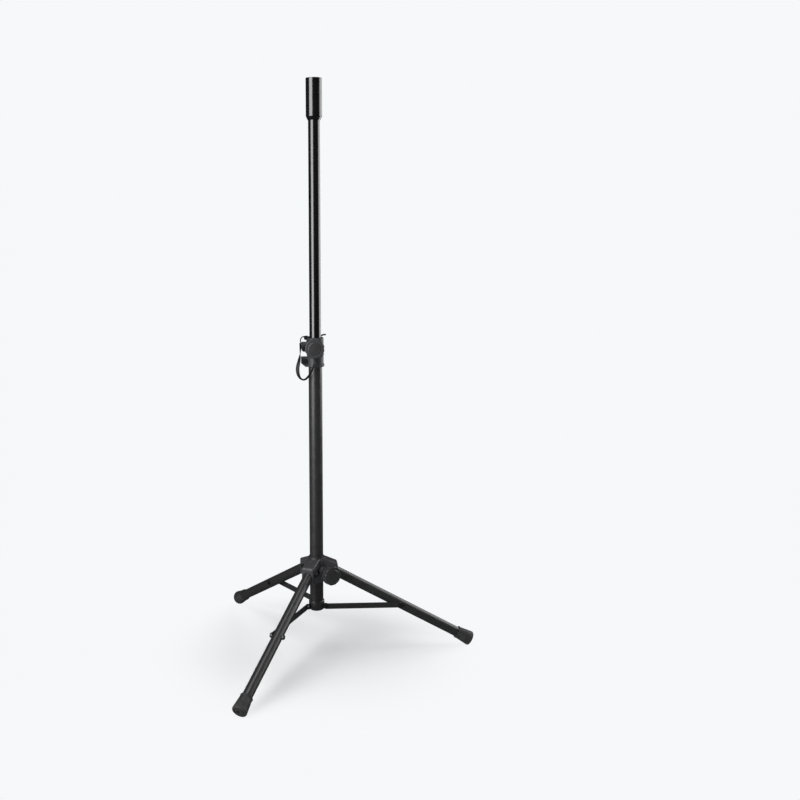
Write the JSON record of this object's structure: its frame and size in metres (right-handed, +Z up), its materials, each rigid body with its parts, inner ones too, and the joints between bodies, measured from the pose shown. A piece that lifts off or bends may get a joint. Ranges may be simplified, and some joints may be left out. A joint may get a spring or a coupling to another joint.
{
  "type": "speaker tripod stand",
  "caption": "Folding tripod stand with a telescoping mast, a clamp collar with a locking pin, a sliding leg hub and a round pole adapter for a loudspeaker.",
  "frame": {"origin": "on the floor, on the mast's axis, with the tripod open", "axes": "+Z up along the mast; +X towards one leg; -Y is the side of the collar's clamp knob"},
  "size_m": [0.5475, 0.6276, 1.27],
  "materials": {
    "gloss_enamel": "gloss black enamel",
    "powder_coat": "satin black powder coat",
    "hub_plastic": "matte moulded plastic with a fine grain",
    "collar_plastic": "matte moulded plastic",
    "knob_plastic": "matte moulded plastic",
    "knob_cap_plastic": "smooth plastic",
    "moulded_plastic": "satin moulded plastic",
    "nylon": "satin black nylon",
    "foot_rubber": "matte rubber",
    "black_steel": "black oxide steel",
    "bright_steel": "zinc plated steel",
    "strap": "soft satin strap"
  },
  "bodies": {
    "column": {"lower_tube": "powder_coat", "collar": "collar_plastic", "collar_liner": "nylon", "collar_brake_pad": "nylon", "clamp_bolts": "black_steel", "clamp_nuts": "black_steel", "brace_bracket": "powder_coat", "bracket_rivets": "black_steel", "tube_end_plug": "moulded_plastic", "strap_eye": "strap", "tether_strap": "strap"},
    "mast": {"mast_tube": "gloss_enamel", "mast_guide_plug": "moulded_plastic", "pole_adapter": "gloss_enamel", "adapter_cap": "moulded_plastic"},
    "collar_knob": {"collar_knob": "knob_plastic", "collar_knob_stud": "bright_steel", "collar_knob_cap": "knob_cap_plastic"},
    "locking_pin": {"locking_pin": "black_steel", "pin_ring": "black_steel"},
    "leg_hub": {"leg_hub": "hub_plastic", "hub_liner": "nylon", "hub_brake_pad": "nylon", "hub_pivot_bolts": "black_steel", "hub_pivot_nuts": "black_steel"},
    "hub_knob": {"hub_knob": "knob_plastic", "hub_knob_stud": "bright_steel", "hub_knob_cap": "knob_cap_plastic"},
    "leg_right": {"leg_tube_right": "powder_coat", "leg_head_right": "moulded_plastic", "foot_right": "foot_rubber", "brace_nut_right": "black_steel"},
    "brace_right": {"brace_right": "powder_coat", "brace_bolt_right": "black_steel"},
    "leg_rear": {"leg_tube_rear": "powder_coat", "leg_head_rear": "moulded_plastic", "foot_rear": "foot_rubber", "brace_nut_rear": "black_steel"},
    "brace_rear": {"brace_rear": "powder_coat", "brace_bolt_rear": "black_steel"},
    "leg_front": {"leg_tube_front": "powder_coat", "leg_head_front": "moulded_plastic", "foot_front": "foot_rubber", "brace_nut_front": "black_steel"},
    "brace_front": {"brace_front": "powder_coat", "brace_bolt_front": "black_steel"}
  },
  "joints": [
    {"name": "mast_slide", "type": "slide", "parent": "column", "child": "mast", "axis": [0, 0, 1], "range_m": [-0.4064, 0]},
    {"name": "collar_knob_turn", "type": "hinge", "parent": "column", "child": "collar_knob", "pos_m": [-0.00397, -0.03779, 0.6925], "axis": [-0.1045, -0.9945, 0], "range_deg": [0, 540]},
    {"name": "pin_pull", "type": "slide", "parent": "column", "child": "locking_pin", "axis": [-0.866, -0.5, 0], "range_m": [0, 0.07]},
    {"name": "hub_slide", "type": "slide", "parent": "column", "child": "leg_hub", "axis": [0, 0, 1], "range_m": [0, 0.25958]},
    {"name": "hub_knob_turn", "type": "hinge", "parent": "leg_hub", "child": "hub_knob", "pos_m": [0.028, -0.0485, 0.19161], "axis": [0.5, -0.866, 0], "range_deg": [0, 540]},
    {"name": "leg_fold_right", "type": "hinge", "parent": "leg_hub", "child": "leg_right", "pos_m": [0.032, 0, 0.19011], "axis": [0, 1, 0], "range_deg": [0, 59.02]},
    {"name": "brace_fold_right", "type": "hinge", "parent": "column", "child": "brace_right", "pos_m": [0.0205, 0, 0.107], "axis": [0, -1, 0], "range_deg": [0, 84.89]},
    {"name": "leg_fold_rear", "type": "hinge", "parent": "leg_hub", "child": "leg_rear", "pos_m": [-0.016, 0.02771, 0.19011], "axis": [-0.866, -0.5, 0], "range_deg": [0, 59.02]},
    {"name": "brace_fold_rear", "type": "hinge", "parent": "column", "child": "brace_rear", "pos_m": [-0.01025, 0.01775, 0.107], "axis": [0.866, 0.5, 0], "range_deg": [0, 84.89]},
    {"name": "leg_fold_front", "type": "hinge", "parent": "leg_hub", "child": "leg_front", "pos_m": [-0.016, -0.02771, 0.19011], "axis": [0.866, -0.5, 0], "range_deg": [0, 59.02]},
    {"name": "brace_fold_front", "type": "hinge", "parent": "column", "child": "brace_front", "pos_m": [-0.01025, -0.01775, 0.107], "axis": [-0.866, 0.5, 0], "range_deg": [0, 84.89]}
  ],
  "couplings": [
    {"joint": "leg_fold_right", "follows": "hub_slide", "rad_per_m": 3.967},
    {"joint": "brace_fold_right", "follows": "hub_slide", "rad_per_m": 5.7063},
    {"joint": "leg_fold_rear", "follows": "hub_slide", "rad_per_m": 3.967},
    {"joint": "brace_fold_rear", "follows": "hub_slide", "rad_per_m": 5.7063},
    {"joint": "leg_fold_front", "follows": "hub_slide", "rad_per_m": 3.967},
    {"joint": "brace_fold_front", "follows": "hub_slide", "rad_per_m": 5.7063}
  ]
}
